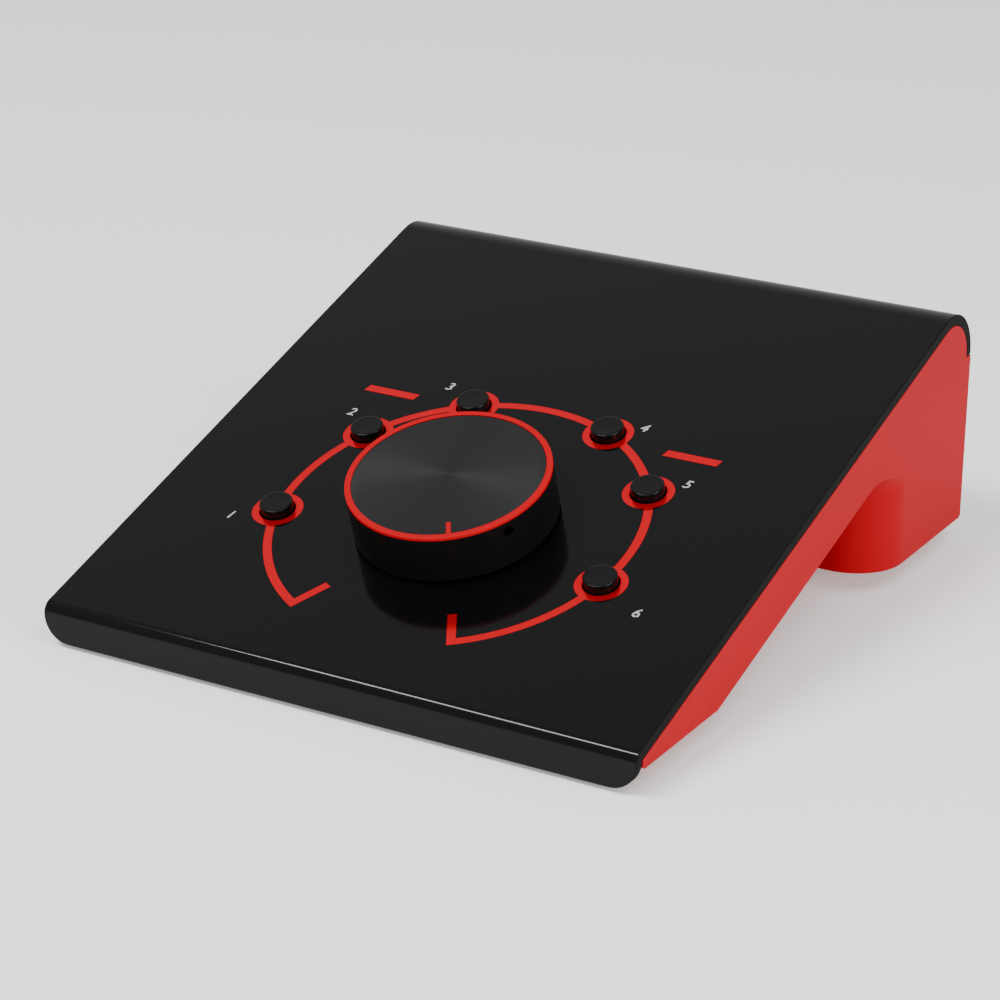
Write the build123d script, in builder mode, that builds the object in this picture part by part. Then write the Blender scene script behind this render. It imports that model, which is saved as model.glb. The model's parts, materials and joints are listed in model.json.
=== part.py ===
"""Desktop passive monitor controller: a wedge-shaped box with a bent black top sheet,
a red moulded body, a large volume knob, six latching push buttons and a row of jacks.

Millimetres. +Z is up, -Y is the front, +X is to the right of the person using it. The origin
is under the middle of the whole object, on the surface that its four rubber feet stand on.
"""
from build123d import *
from math import cos, radians, sin, tan
import os

os.makedirs("parts", exist_ok=True)

# ---------------------------------------------------------------- driving dimensions
WIDTH = 170.0                # across the box, and across the top sheet
CASE_DEPTH = 191.5           # from the front of the lip to the rear face of the body
SLOPE = 18.1                 # control surface, degrees above level
FOOT_HEIGHT = 6.0            # underside of the body above the table
FRONT_EDGE = 4.8             # sharp front edge of the sheet, above the body's underside
WALL = 2.5                   # moulded wall of the body

SHEET = 3.0                  # thickness of the bent top sheet
FRONT_BEND = 3.5             # outer radius of the bend above the lip
REAR_BEND = 14.0             # outer radius of the bend at the back
LIP_DROP = 4.9               # the lip hangs this far below the body's underside
LIP_CORNER = 7.2             # rounded lower corners of the lip
SHEET_END = 47.5             # lower edge of the sheet at the back, above the body's underside

SLAB_FLAT = 41.7             # the level underside reaches this far back, then follows the slope
BLOCK_FRONT = 136.3          # front face of the rear block, back from the lip
BLOCK_CORNER = 14.5          # upright rounded corners of the rear block
ARCH = 11.0                  # rounding where the block meets the slab's underside

DIAL_UP = 65.0               # knob axis, up the slope from the sharp front edge
DIAL_RADIUS = 49.0           # circle that the buttons stand on
BUTTON_ANGLES = (103.5, 59.0, 24.5, -24.5, -59.0, -103.5)   # from straight up, left first

KNOB_RADIUS = 26.6
KNOB_HEIGHT = 14.6           # top of the knob above the sheet
KNOB_GAP = 1.2               # running gap under the knob
KNOB_TURN = 300.0            # rotation of the potentiometer
SHAFT_RADIUS = 3.0
BUSHING = 3.5                # outer radius of the threaded bushing round the shaft

CAP_RADIUS = 4.4
CAP_PROUD = 2.6
CAP_HOLE = 4.7
BUTTON_TRAVEL = 2.0
SPRING_SOLID = 2.1           # what is left under a plunger that is pressed home

BOARD = 1.6                  # thickness of both circuit boards
BOARD_DROP = 10.4            # top of the control board below the outside of the sheet
BOARD_SIZE = (120.0, 78.0)
BOARD_UP = 82.0              # centre of the control board, up the slope

JACK_COUNT = 8
JACK_PITCH = 17.0
JACK_BORE = 3.2
JACK_PROUD = 3.5             # threaded collar beyond the rear face
JACK_LENGTH = 31.0           # bore, from its mouth to its blind end
JACK_HEIGHT = 23.0           # jack axis above the body's underside
JACK_CASE = (15.6, 18.0)     # width and height of the moulding behind the plate
JACK_COLLAR = 4.5            # radius of the threaded collar
PLATE = 1.5
PLATE_SIZE = (156.0, 36.0)

FEET = {"front": 24.0, "rear": 168.0}    # foot axes, back from the lip
FOOT_X = 60.0
FOOT_RADIUS = 6.5
FOOT_SCREW = 1.45
FOOT_BOSS = {"front": 6.6, "rear": 7.5}  # height of the bosses that hold the foot screws
FOOT_SEAT = 3.2              # the screw head bears this far above the table

CLEAR = 0.1                  # play between parts that are assembled by hand
BOSS_RADIUS = 4.0
POST_RADIUS = 3.2
COVER_SCREW = 1.5
BOARD_SCREW = 1.25
POST_SCREW = 1.2
PLATE_SCREW = 1.4

# ---------------------------------------------------------------- derived frame
TOTAL_DEPTH = CASE_DEPTH + JACK_PROUD
FRONT = -TOTAL_DEPTH / 2     # y of the front of the lip
BASE = FOOT_HEIGHT           # z of the body's underside
HALF = WIDTH / 2
TAN = tan(radians(SLOPE))
COS = cos(radians(SLOPE))
SIN = sin(radians(SLOPE))
REAR = FRONT + CASE_DEPTH
SLAB_THICK = (FRONT_EDGE + SLAB_FLAT * TAN) * COS    # sheet and slab, square to the slope
SLAB_INNER = SLAB_THICK - WALL

# local x is +X, local y runs up the slope, local z leaves the control surface
panel = Plane(origin=(0, FRONT, BASE + FRONT_EDGE), x_dir=(1, 0, 0), z_dir=(0, -SIN, COS))
dial = Plane(origin=panel.from_local_coords((0, DIAL_UP, 0)), x_dir=(1, 0, 0), z_dir=panel.z_dir)


def at(back, up):
    """A point of the side profile: distance back from the lip, height above the underside."""
    return (FRONT + back, BASE + up)


def surface(back, drop=0.0):
    """Height of the control surface, or of a plane `drop` under it, above the underside."""
    return FRONT_EDGE + back * TAN - drop / COS


def button_spot(angle):
    """Centre of a button in the dial's plane, from its angle off straight up."""
    return (-DIAL_RADIUS * sin(radians(angle)), DIAL_RADIUS * cos(radians(angle)))


def label_and_write(solid, name):
    """Name a finished piece and write its STEP file."""
    solid.label = name
    export_step(solid, f"parts/{name}.step")


def round_profile(corner, radius):
    """Round the corner of the sketch in progress that lies nearest to a (y, z) point."""
    fillet(vertices().sort_by_distance(Vector(corner[0], corner[1], 0))[0], radius)


# ---------------------------------------------------------------- top sheet
lip_foot = at(0, -LIP_DROP)
sharp_front = at(0, FRONT_EDGE)
sharp_rear = at(CASE_DEPTH, surface(CASE_DEPTH))
sheet_end = at(CASE_DEPTH, SHEET_END)
inner_front = at(SHEET, surface(SHEET, SHEET))
inner_rear = at(CASE_DEPTH - SHEET, surface(CASE_DEPTH - SHEET, SHEET))

with BuildPart() as top_sheet:
    with BuildSketch(Plane.YZ):
        with BuildLine():
            Polyline(
                lip_foot, sharp_front, sharp_rear, sheet_end,
                at(CASE_DEPTH - SHEET, SHEET_END), inner_rear, inner_front,
                at(SHEET, -LIP_DROP), close=True,
            )
        make_face()
        round_profile(sharp_front, FRONT_BEND)
        round_profile(inner_front, FRONT_BEND - SHEET)
        round_profile(sharp_rear, REAR_BEND)
        round_profile(inner_rear, REAR_BEND - SHEET)
    extrude(amount=HALF, both=True)
    lip_corners = top_sheet.edges().filter_by(Axis.Y).group_by(Axis.Z)[0]
    fillet(lip_corners, LIP_CORNER)
    with BuildSketch(dial):
        Circle(BUSHING + CLEAR)
        with Locations(*[button_spot(a) for a in BUTTON_ANGLES]):
            Circle(CAP_HOLE)
    extrude(amount=-2 * SHEET, mode=Mode.SUBTRACT)
label_and_write(top_sheet.part, "top_sheet")


# ---------------------------------------------------------------- red body
def void_under_slab(grow):
    """The open space under the slab, in front of the rear block.

    `grow` moves its upper and rear faces into the body by one wall, for the hollow inside.
    """
    block_front = FRONT + BLOCK_FRONT + grow
    block_half = HALF - grow
    reach = block_front + BLOCK_CORNER + 20
    ceiling = Plane(
        origin=panel.from_local_coords((0, 0, grow - SLAB_THICK)), x_dir=(1, 0, 0),
        z_dir=panel.z_dir,
    )
    with BuildPart() as void:
        with BuildSketch(Plane.XY.offset(BASE - 10)) as plan:
            with Locations((0, reach)):
                Rectangle(WIDTH + 60, 220, align=(Align.CENTER, Align.MAX))
                Rectangle(
                    2 * block_half, reach - block_front, align=(Align.CENTER, Align.MAX),
                    mode=Mode.SUBTRACT,
                )
            block_corners = [
                v for v in plan.vertices()
                if abs(v.Y - block_front) < 0.1 and abs(abs(v.X) - block_half) < 0.1
            ]
            fillet(block_corners, BLOCK_CORNER - grow)
        extrude(amount=120)
        split(bisect_by=ceiling, keep=Keep.BOTTOM)
        roof = void.faces().filter_by(ceiling)[0]
        junction = [
            e for e in roof.edges()
            if e.center().Y > block_front - 1 and abs(e.center().X) < block_half + 1
        ]
        fillet(junction, ARCH - grow)
    return void.part


body_front = SHEET + 0.2
body_outline = [
    at(body_front, 0), at(CASE_DEPTH, 0), at(CASE_DEPTH, SHEET_END - 0.15),
    at(CASE_DEPTH - SHEET - 0.1, SHEET_END - 0.15),
    at(CASE_DEPTH - SHEET - 0.1, surface(CASE_DEPTH - SHEET - 0.1, SHEET + 0.05)),
    at(body_front, surface(body_front, SHEET + 0.05)),
]
hollow_outline = [
    at(body_front + WALL, WALL), at(CASE_DEPTH - 2 * WALL, WALL),
    at(CASE_DEPTH - 2 * WALL, surface(CASE_DEPTH)),
    at(body_front + WALL, surface(body_front + WALL, SHEET - 1)),
]
cover_screw_ups = (52.0, 84.0, 116.0)
cover_screw_x = 74.0
cover_spots = [(x, up) for x in (-cover_screw_x, cover_screw_x) for up in cover_screw_ups]
foot_spots = [(x, FRONT + y) for y in FEET.values() for x in (-FOOT_X, FOOT_X)]
jack_xs = [(i - (JACK_COUNT - 1) / 2) * JACK_PITCH for i in range(JACK_COUNT)]
jack_z = BASE + JACK_HEIGHT
jack_board_top = jack_z - JACK_CASE[1] / 2
jack_board_y = REAR - PLATE - 21.5
board_post_spots = [(x, jack_board_y + y) for x in (-71.0, 71.0) for y in (-14.0, 14.0)]
rear_face = Plane(origin=(0, REAR, jack_z), x_dir=(1, 0, 0), z_dir=(0, 1, 0))
plate_screw_spots = [
    (x, z) for x in (3 - PLATE_SIZE[0] / 2, PLATE_SIZE[0] / 2 - 3)
    for z in (3 - PLATE_SIZE[1] / 2, PLATE_SIZE[1] / 2 - 3)
]

with BuildPart() as slab_hollow:
    with BuildSketch(Plane.YZ):
        with BuildLine():
            Polyline(*hollow_outline, close=True)
        make_face()
    extrude(amount=HALF - WALL, both=True)
    add(void_under_slab(WALL), mode=Mode.SUBTRACT)

with BuildPart() as body_shell:
    with BuildSketch(Plane.YZ):
        with BuildLine():
            Polyline(*body_outline, close=True)
        make_face()
        round_profile(body_outline[0], 1.4)
        round_profile(body_outline[1], 1.0)
        round_profile(body_outline[4], REAR_BEND - SHEET)
    extrude(amount=HALF, both=True)
    add(void_under_slab(0.0), mode=Mode.SUBTRACT)
    add(slab_hollow.part, mode=Mode.SUBTRACT)
    # window and rebate for the jack plate
    with BuildSketch(Plane.XZ.offset(-REAR)):
        with Locations((0, jack_z)):
            Rectangle(PLATE_SIZE[0] + 0.4, PLATE_SIZE[1] + 0.4)
    extrude(amount=PLATE, mode=Mode.SUBTRACT)
    with BuildSketch(Plane.XZ.offset(-REAR)):
        with Locations((0, jack_z)):
            Rectangle(PLATE_SIZE[0] - 12, PLATE_SIZE[1] - 9)
    extrude(amount=3 * WALL, mode=Mode.SUBTRACT)
    # bosses for the foot screws and posts for the jack board
    for row, back in FEET.items():
        with BuildSketch(Plane.XY.offset(BASE + WALL / 2)):
            with Locations(*[(x, FRONT + back) for x in (-FOOT_X, FOOT_X)]):
                Circle(BOSS_RADIUS)
        extrude(amount=FOOT_BOSS[row] - WALL / 2)
    with BuildSketch(Plane.XY.offset(BASE + WALL / 2)):
        with Locations(*board_post_spots):
            Circle(POST_RADIUS)
    extrude(amount=jack_board_top - BOARD - BASE - WALL / 2)
    # pilot holes
    with BuildSketch(Plane.XY.offset(BASE - 1)):
        with Locations(*foot_spots):
            Circle(FOOT_SCREW)
    extrude(amount=1 + min(FOOT_BOSS.values()) - 0.6, mode=Mode.SUBTRACT)
    with BuildSketch(Plane.XY.offset(jack_board_top - BOARD)):
        with Locations(*board_post_spots):
            Circle(POST_SCREW)
    extrude(amount=-6, mode=Mode.SUBTRACT)
    with BuildSketch(rear_face):
        with Locations(*plate_screw_spots):
            Circle(PLATE_SCREW)
    extrude(amount=-PLATE - WALL - 0.5, mode=Mode.SUBTRACT)
    # clearance holes and head recesses for the cover screws
    with BuildSketch(panel.offset(-SLAB_THICK - 1)):
        with Locations(*cover_spots):
            Circle(COVER_SCREW + 2 * CLEAR)
    extrude(amount=WALL + 1.5, mode=Mode.SUBTRACT)
    with BuildSketch(panel.offset(-SLAB_THICK - 1)):
        with Locations(*cover_spots):
            Circle(3.1)
    extrude(amount=2.0, mode=Mode.SUBTRACT)
label_and_write(body_shell.part, "body_shell")

# ---------------------------------------------------------------- pillars and screws of the cover
pillar_length = SLAB_INNER - SHEET
with BuildPart() as cover_pillars:
    with BuildSketch(panel.offset(-SHEET)):
        with Locations(*cover_spots):
            RegularPolygon(radius=2.75, side_count=6, major_radius=False)
    extrude(amount=-pillar_length)
    with BuildSketch(panel.offset(-SLAB_INNER)):
        with Locations(*cover_spots):
            Circle(COVER_SCREW)
    extrude(amount=8.0, mode=Mode.SUBTRACT)
label_and_write(cover_pillars.part, "cover_pillars")


def pan_screw(plane, spots, head_radius, head_height, shank_radius, shank_length, drive=1.0):
    """Pan-head screws whose heads stand on the plane and whose shanks run against its normal."""
    with BuildPart() as screws:
        with BuildSketch(plane):
            with Locations(*spots):
                Circle(head_radius)
        extrude(amount=head_height)
        with BuildSketch(plane):
            with Locations(*spots):
                Circle(shank_radius)
        extrude(amount=-shank_length)
        with BuildSketch(plane.offset(head_height)):
            with Locations(*spots):
                RegularPolygon(radius=drive, side_count=6)
        extrude(amount=-head_height * 0.6, mode=Mode.SUBTRACT)
    return screws.part


below_slab = Plane(
    origin=panel.from_local_coords((0, 0, -SLAB_THICK + 1.0)), x_dir=(1, 0, 0), z_dir=-panel.z_dir
)
cover_screws = pan_screw(
    below_slab, [(x, -up) for x, up in cover_spots], 2.8, 0.9, COVER_SCREW, WALL - 1.0 + 7.0
)
label_and_write(cover_screws, "cover_screws")

# ---------------------------------------------------------------- rubber feet
for row, back in FEET.items():
    for side, x in (("left", -FOOT_X), ("right", FOOT_X)):
        with BuildPart() as foot:
            with BuildSketch(Plane(origin=(x, FRONT + back, 0), x_dir=(1, 0, 0), z_dir=(0, 1, 0))):
                with BuildLine():
                    Polyline(
                        (3.3, 0), (FOOT_RADIUS - 0.8, 0), (FOOT_RADIUS, -FOOT_HEIGHT),
                        (FOOT_SCREW + CLEAR, -FOOT_HEIGHT), (FOOT_SCREW + CLEAR, -FOOT_SEAT),
                        (3.3, -FOOT_SEAT), close=True,
                    )
                make_face()
            revolve(axis=Axis((x, FRONT + back, 0), (0, 0, 1)))
        label_and_write(foot.part, f"foot_{row}_{side}")

foot_screws = pan_screw(
    Plane(origin=(0, 0, FOOT_SEAT), x_dir=(1, 0, 0), z_dir=(0, 0, -1)),
    [(x, -y) for x, y in foot_spots], 2.8, 2.0, FOOT_SCREW, FOOT_HEIGHT - FOOT_SEAT + 5.5,
)
label_and_write(foot_screws, "foot_screws")

# ---------------------------------------------------------------- control board
board_pillar_spots = [
    (-54.0, 72.0), (54.0, 72.0), (-36.0, 112.0), (36.0, 112.0), (-24.0, 50.0), (24.0, 50.0),
]
with BuildPart() as control_board:
    with BuildSketch(panel.offset(-BOARD_DROP)):
        with Locations((0, BOARD_UP)):
            RectangleRounded(BOARD_SIZE[0], BOARD_SIZE[1], 3)
        with Locations(*board_pillar_spots):
            Circle(1.6, mode=Mode.SUBTRACT)
    extrude(amount=-BOARD)
label_and_write(control_board.part, "control_board")

with BuildPart() as board_pillars:
    with BuildSketch(panel.offset(-SHEET)):
        with Locations(*board_pillar_spots):
            RegularPolygon(radius=2.5, side_count=6, major_radius=False)
            Circle(BOARD_SCREW, mode=Mode.SUBTRACT)
    extrude(amount=-(BOARD_DROP - SHEET))
label_and_write(board_pillars.part, "board_pillars")

below_board = Plane(
    origin=panel.from_local_coords((0, 0, -BOARD_DROP - BOARD)), x_dir=(1, 0, 0), z_dir=-panel.z_dir
)
board_screws = pan_screw(
    below_board, [(x, -up) for x, up in board_pillar_spots], 2.4, 1.6, BOARD_SCREW, BOARD + 5.0, 0.8
)
label_and_write(board_screws, "board_screws")

RESISTOR = 1.1
RESISTOR_LENGTH = 6.0
with BuildPart() as board_resistors:
    for row_up in (82.0, 94.0):
        row_start = panel.from_local_coords((0, row_up, -BOARD_DROP + RESISTOR))
        with BuildSketch(Plane(origin=row_start, x_dir=(1, 0, 0), z_dir=panel.y_dir)):
            with GridLocations(8.0, 0, 6, 1):
                Circle(RESISTOR)
        extrude(amount=RESISTOR_LENGTH)
label_and_write(board_resistors.part, "board_resistors")

HEADER = (20.0, 6.0, 6.0)
header_up = 115.0
with BuildPart() as control_header:
    with BuildSketch(panel.offset(-BOARD_DROP)):
        with Locations((0, header_up)):
            Rectangle(HEADER[0], HEADER[1])
    extrude(amount=HEADER[2])
label_and_write(control_header.part, "control_header")

# ---------------------------------------------------------------- volume potentiometer
POT_TOP = -SHEET - 0.6
with BuildPart() as pot_body:
    with BuildSketch(dial.offset(-BOARD_DROP)):
        Circle(8.5)
        with Locations((0, -7)):
            Rectangle(12, 6)
    extrude(amount=BOARD_DROP + POT_TOP)
    with BuildSketch(dial.offset(POT_TOP)):
        Circle(SHAFT_RADIUS + 0.05)
    extrude(amount=-4.0, mode=Mode.SUBTRACT)
label_and_write(pot_body.part, "pot_body")

NUT_BASE = 0.5
with BuildPart() as pot_bushing:
    with BuildSketch(dial.offset(POT_TOP)):
        Circle(BUSHING)
        Circle(SHAFT_RADIUS + 0.05, mode=Mode.SUBTRACT)
    extrude(amount=-POT_TOP + 3.2)
label_and_write(pot_bushing.part, "pot_bushing")

with BuildPart() as pot_washer:
    with BuildSketch(dial):
        Circle(6.0)
        Circle(BUSHING + CLEAR, mode=Mode.SUBTRACT)
    extrude(amount=NUT_BASE)
label_and_write(pot_washer.part, "pot_washer")

with BuildPart() as pot_nut:
    with BuildSketch(dial.offset(NUT_BASE)):
        RegularPolygon(radius=5.0, side_count=6, major_radius=False)
        Circle(BUSHING, mode=Mode.SUBTRACT)
    extrude(amount=2.0)
label_and_write(pot_nut.part, "pot_nut")

SHAFT_TOP = 12.3
with BuildPart() as pot_shaft:
    with BuildSketch(dial.offset(POT_TOP - 3.7)):
        Circle(SHAFT_RADIUS)
    extrude(amount=SHAFT_TOP - POT_TOP + 3.7)
label_and_write(pot_shaft.part, "pot_shaft")

# ---------------------------------------------------------------- knob
RING_WIDTH = 1.6
RING_DEPTH = 0.9
DISC_DEPTH = 0.7
SKIRT = 3.8
HUB = 7.0
WEB = 1.2
SET_SCREW = 1.5
SET_SCREW_ANGLE = -27.0
knob_half = Plane(origin=dial.origin, x_dir=(1, 0, 0), z_dir=-dial.y_dir)
knob_axis = Axis(dial.origin, dial.z_dir)
POINTER_ANGLE = -90 + (360 - KNOB_TURN) / 2
pointer_length = 4.6
pointer_width = 1.2
disc_radius = KNOB_RADIUS - RING_WIDTH
recess = KNOB_HEIGHT - RING_DEPTH
screw_height = recess - WEB - SET_SCREW - 0.05
outward = dial.x_dir * cos(radians(SET_SCREW_ANGLE)) + dial.y_dir * sin(radians(SET_SCREW_ANGLE))
radial = Plane(
    origin=dial.from_local_coords((0, 0, screw_height)), x_dir=dial.z_dir, z_dir=outward
).offset(SHAFT_RADIUS + 0.02)

with BuildPart() as knob:
    with BuildSketch(knob_half):
        with BuildLine():
            Polyline(
                (SHAFT_RADIUS, 3.6), (HUB, 3.6), (HUB, recess - WEB),
                (KNOB_RADIUS - SKIRT, recess - WEB), (KNOB_RADIUS - SKIRT, KNOB_GAP),
                (KNOB_RADIUS, KNOB_GAP), (KNOB_RADIUS, recess), (0, recess),
                (0, SHAFT_TOP), (SHAFT_RADIUS, SHAFT_TOP), close=True,
            )
        make_face()
    revolve(axis=knob_axis)
    with BuildSketch(radial):
        Circle(SET_SCREW)
    extrude(amount=KNOB_RADIUS, mode=Mode.SUBTRACT)
label_and_write(knob.part, "knob")

with BuildPart() as knob_set_screw:
    with BuildSketch(radial):
        Circle(SET_SCREW)
    extrude(amount=4.5)
    with BuildSketch(radial.offset(4.5)):
        RegularPolygon(radius=0.7, side_count=6)
    extrude(amount=-2.0, mode=Mode.SUBTRACT)
label_and_write(knob_set_screw.part, "knob_set_screw")

with BuildPart() as knob_ring:
    with BuildSketch(dial.offset(recess)):
        Circle(KNOB_RADIUS)
        Circle(disc_radius, mode=Mode.SUBTRACT)
    extrude(amount=RING_DEPTH)
label_and_write(knob_ring.part, "knob_ring")


def pointer_outline(grow, mode=Mode.ADD):
    """The pointer's bar, drawn in the sketch in progress, from the ring inwards."""
    reach = disc_radius - pointer_length / 2 + 0.2
    spot = (reach * cos(radians(POINTER_ANGLE)), reach * sin(radians(POINTER_ANGLE)))
    with Locations(Location((spot[0], spot[1], 0), (0, 0, POINTER_ANGLE))):
        Rectangle(pointer_length + 0.4 + grow, pointer_width + grow, mode=mode)


with BuildPart() as knob_pointer:
    with BuildSketch(dial.offset(recess)):
        pointer_outline(0.0)
        Circle(disc_radius - 0.02, mode=Mode.INTERSECT)
    extrude(amount=RING_DEPTH)
label_and_write(knob_pointer.part, "knob_pointer")

with BuildPart() as knob_disc:
    with BuildSketch(dial.offset(recess)):
        Circle(disc_radius - 0.02)
        pointer_outline(0.04, Mode.SUBTRACT)
    extrude(amount=DISC_DEPTH)
label_and_write(knob_disc.part, "knob_disc")

# ---------------------------------------------------------------- push buttons
CAP_BOTTOM = -1.2
CAP_CEILING = 1.8
CASE_TOP = -SHEET - 0.6
CASE_FLOOR = -BOARD_DROP + 0.8
PLUNGER_FOOT = CASE_FLOOR + SPRING_SOLID + BUTTON_TRAVEL
PLUNGER = 1.9
for number, angle in enumerate(BUTTON_ANGLES, start=1):
    x, up = button_spot(angle)
    spot = Plane(origin=dial.from_local_coords((x, up, 0)), x_dir=(1, 0, 0), z_dir=dial.z_dir)
    with BuildPart() as cap:
        with BuildSketch(spot.offset(CAP_BOTTOM)):
            Circle(CAP_RADIUS)
        extrude(amount=CAP_PROUD - CAP_BOTTOM)
        crown = cap.faces().sort_by(Axis(spot.origin, spot.z_dir))[-1]
        fillet(crown.edges(), 0.45)
        with BuildSketch(spot.offset(CAP_BOTTOM)):
            Circle(PLUNGER)
        extrude(amount=CAP_CEILING - CAP_BOTTOM, mode=Mode.SUBTRACT)
    label_and_write(cap.part, f"button_{number}_cap")

    with BuildPart() as plunger:
        with BuildSketch(spot.offset(PLUNGER_FOOT)):
            Circle(PLUNGER)
        extrude(amount=CAP_CEILING - PLUNGER_FOOT)
        with BuildSketch(spot.offset(PLUNGER_FOOT)):
            Circle(PLUNGER + 0.7)
        extrude(amount=0.8)
    label_and_write(plunger.part, f"button_{number}_plunger")

    with BuildPart() as case:
        with BuildSketch(spot.offset(-BOARD_DROP)):
            RectangleRounded(8.0, 8.0, 0.6)
        extrude(amount=CASE_TOP + BOARD_DROP)
        with BuildSketch(spot.offset(CASE_FLOOR)):
            Circle(3.2)
        extrude(amount=CASE_TOP - 0.9 - CASE_FLOOR, mode=Mode.SUBTRACT)
        with BuildSketch(spot.offset(CASE_TOP)):
            Circle(PLUNGER + 0.3)
        extrude(amount=-2.0, mode=Mode.SUBTRACT)
    label_and_write(case.part, f"switch_{number}_case")

SPRING_RADIUS = 1.5
SPRING_WIRE = 0.18
spring_length = PLUNGER_FOOT - CASE_FLOOR - 2 * SPRING_WIRE
with BuildPart() as one_spring:
    with BuildLine():
        Helix(pitch=spring_length / 3, height=spring_length, radius=SPRING_RADIUS)
    with BuildSketch(Plane(origin=(SPRING_RADIUS, 0, 0), z_dir=(0, 1, 0))):
        Circle(SPRING_WIRE)
    sweep(is_frenet=True)

with BuildPart() as switch_springs:
    for angle in BUTTON_ANGLES:
        x, up = button_spot(angle)
        foot_of_spring = dial.from_local_coords((x, up, CASE_FLOOR + SPRING_WIRE))
        add(Plane(origin=foot_of_spring, x_dir=(1, 0, 0), z_dir=dial.z_dir) * one_spring.part)
label_and_write(switch_springs.part, "switch_springs")

# ---------------------------------------------------------------- jacks at the back
with BuildPart() as jack_plate:
    with BuildSketch(Plane.XZ.offset(-REAR)):
        with Locations((0, jack_z)):
            RectangleRounded(PLATE_SIZE[0], PLATE_SIZE[1], 1.5)
        with Locations(*[(x, jack_z) for x in jack_xs]):
            Circle(JACK_COLLAR + CLEAR, mode=Mode.SUBTRACT)
        with Locations(*[(x, jack_z + z) for x, z in plate_screw_spots]):
            Circle(PLATE_SCREW + 0.2, mode=Mode.SUBTRACT)
    extrude(amount=PLATE)
label_and_write(jack_plate.part, "jack_plate")

plate_screws = pan_screw(
    rear_face, plate_screw_spots, 2.7, 1.6, PLATE_SCREW, PLATE + WALL,
)
label_and_write(plate_screws, "jack_plate_screws")

for number, x in enumerate(jack_xs, start=1):
    mouth = Plane(origin=(x, REAR + JACK_PROUD, jack_z), x_dir=(1, 0, 0), z_dir=(0, 1, 0))
    with BuildPart() as jack:
        with BuildSketch(mouth.offset(-JACK_PROUD - PLATE)):
            RectangleRounded(JACK_CASE[0], JACK_CASE[1], 1.0)
        extrude(amount=-(JACK_LENGTH + 2.0 - JACK_PROUD - PLATE))
        with BuildSketch(mouth):
            Circle(JACK_COLLAR)
        extrude(amount=-JACK_PROUD - PLATE)
        with BuildSketch(mouth):
            Circle(JACK_BORE)
        extrude(amount=-JACK_LENGTH, mode=Mode.SUBTRACT)
    label_and_write(jack.part, f"jack_{number}")

with BuildPart() as jack_washers:
    with BuildSketch(rear_face):
        with Locations(*[(x, 0) for x in jack_xs]):
            Circle(6.8)
            Circle(JACK_COLLAR + CLEAR, mode=Mode.SUBTRACT)
    extrude(amount=0.5)
label_and_write(jack_washers.part, "jack_washers")

with BuildPart() as jack_nuts:
    with BuildSketch(rear_face.offset(0.5)):
        with Locations(*[(x, 0) for x in jack_xs]):
            RegularPolygon(radius=6.0, side_count=6, major_radius=False)
            Circle(JACK_COLLAR, mode=Mode.SUBTRACT)
    extrude(amount=2.2)
label_and_write(jack_nuts.part, "jack_nuts")

with BuildPart() as jack_board:
    with BuildSketch(Plane.XY.offset(jack_board_top)):
        with Locations((0, jack_board_y)):
            Rectangle(148, 36)
        with Locations(*board_post_spots):
            Circle(1.5, mode=Mode.SUBTRACT)
    extrude(amount=-BOARD)
label_and_write(jack_board.part, "jack_board")

with BuildPart() as jack_board_screws:
    add(pan_screw(
        Plane.XY.offset(jack_board_top), board_post_spots, 2.4, 1.6, POST_SCREW, BOARD + 4.0, 0.8,
    ))
label_and_write(jack_board_screws.part, "jack_board_screws")

# ---------------------------------------------------------------- ribbon between the boards
jack_header_y = jack_board_y - 14.0
with BuildPart() as jack_header:
    with BuildSketch(Plane.XY.offset(jack_board_top)):
        with Locations((0, jack_header_y)):
            Rectangle(HEADER[0], HEADER[1])
    extrude(amount=HEADER[2])
label_and_write(jack_header.part, "jack_header")

RIBBON_WIDTH = 16.0
RIBBON = 0.9
ribbon_start = panel.from_local_coords((0, header_up + HEADER[1] / 2, -BOARD_DROP + 3.5))
ribbon_end = (jack_header_y, jack_board_top + HEADER[2])
rise = (ribbon_end[0] - ribbon_start.Y) * TAN
with BuildPart() as ribbon_cable:
    with BuildSketch(Plane.YZ):
        with BuildLine():
            FilletPolyline(
                (ribbon_start.Y, ribbon_start.Z),
                (ribbon_end[0], ribbon_start.Z + rise),
                ribbon_end,
                radius=7.0,
            )
        trace(line_width=RIBBON)
    extrude(amount=RIBBON_WIDTH / 2, both=True)
label_and_write(ribbon_cable.part, "ribbon_cable")
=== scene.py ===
"""Looks of a desktop passive monitor controller, built around its packed construction model.

Every size is in metres and every place comes from the frame: the knob's joint gives the dial's
centre and the slope of the control surface, and the boxes of the nodes give the rest.
"""
import json
from math import atan2, cos, hypot, pi, radians, sin, tan, tau

import bmesh
import bpy
from bpy.props import FloatProperty, FloatVectorProperty, PointerProperty
from mathutils import Matrix, Vector

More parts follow.
